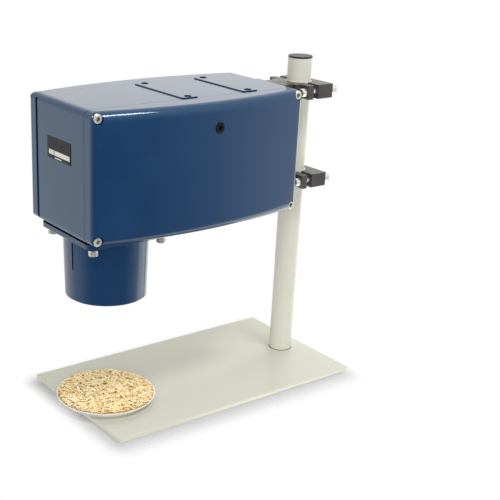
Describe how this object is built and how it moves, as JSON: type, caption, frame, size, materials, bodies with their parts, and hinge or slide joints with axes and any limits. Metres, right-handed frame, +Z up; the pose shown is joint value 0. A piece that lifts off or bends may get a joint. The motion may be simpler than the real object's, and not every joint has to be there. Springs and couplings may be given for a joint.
{
  "type": "moisture sensor",
  "caption": "Infrared moisture sensor head with a downward snout, clamped to a pole on a flat base plate, over a shallow sample dish.",
  "frame": {"origin": "middle of the base plate's underside, on the bench top", "axes": "+Z up along the pole, +X along the base plate towards the pole, the front cover faces -Y"},
  "size_m": [0.4731, 0.25, 0.504],
  "materials": {
    "cream_paint": "satin",
    "blue_casting": "gloss blue paint",
    "dark_aluminium": "satin black anodised",
    "plain_aluminium": "satin",
    "screw_steel": "satin",
    "machined_steel": "satin",
    "nickel": "satin nickel plate",
    "gasket_rubber": "matte",
    "black_plastic": "matte",
    "nylon": "satin",
    "plate_black": "matte",
    "window": "polished",
    "clear_glass": "polished",
    "filter_glass": "polished",
    "gold_mirror": "polished",
    "gold_can": "polished",
    "lamp_ceramic": "matte",
    "motor_black": "matte",
    "wheel_black": "matte",
    "hub_brass": "satin",
    "board_green": "satin",
    "supply_grey": "satin",
    "dish_plastic": "satin",
    "wood_shavings": "matte"
  },
  "bodies": {
    "stand": {"base_plate": "cream_paint", "pole": "cream_paint", "pole_cap": "black_plastic", "foot_plug": "machined_steel", "foot_screw": "screw_steel"},
    "carriage": {"clamp_liners": "nylon"},
    "head": {"housing_body": "blue_casting", "front_cover": "blue_casting", "rear_cover": "blue_casting", "front_gasket": "gasket_rubber", "rear_gasket": "gasket_rubber", "front_cover_screws": "screw_steel", "rear_cover_screws": "screw_steel", "port_plug": "black_plastic", "nameplate": "plate_black", "bracket_plate": "dark_aluminium", "bracket_screws": "screw_steel", "arm_screws": "screw_steel", "lower_clamp_body": "dark_aluminium", "upper_clamp_body": "dark_aluminium", "lower_clamp_cap": "dark_aluminium", "upper_clamp_cap": "dark_aluminium", "clamp_bolts": "screw_steel", "clamp_nuts": "screw_steel", "snout": "blue_casting", "snout_gasket": "gasket_rubber", "snout_screws": "screw_steel", "window_glass": "window", "window_seal": "gasket_rubber", "window_ring": "dark_aluminium", "power_inlet": "black_plastic", "signal_connector": "nickel", "optical_bench": "plain_aluminium", "bench_pillars": "machined_steel", "bench_screws": "screw_steel", "lamp_holder": "dark_aluminium", "lamp_bulb": "clear_glass", "lamp_base": "lamp_ceramic", "condenser_lens": "clear_glass", "collecting_mirror": "gold_mirror", "mirror_posts": "machined_steel", "detector": "gold_can", "detector_bracket": "plain_aluminium", "filter_motor": "motor_black", "motor_bracket": "plain_aluminium", "index_sensor": "black_plastic", "chassis_plate": "plain_aluminium", "main_board": "board_green", "board_spacers": "hub_brass", "power_supply": "supply_grey"},
    "wheel": {"filter_wheel": "wheel_black", "wheel_hub": "hub_brass", "optical_filters": "filter_glass"},
    "dish": {"sample_dish": "dish_plastic", "sample_shavings": "wood_shavings"}
  },
  "joints": [
    {"name": "head_height", "type": "slide", "parent": "stand", "child": "carriage", "axis": [0, 0, 1], "range_m": [-0.13, 0.03]},
    {"name": "head_swivel", "type": "hinge", "parent": "carriage", "child": "head", "pos_m": [0.184, 0, 0.38], "axis": [0, 0, 1], "continuous": true},
    {"name": "filter_wheel_spin", "type": "hinge", "parent": "head", "child": "wheel", "pos_m": [-0.137, 0, 0.404], "axis": [0, 0, 1], "continuous": true},
    {"name": "dish_lift", "type": "slide", "parent": "stand", "child": "dish", "axis": [0, 0, 1], "range_m": [0, 0.1]}
  ]
}
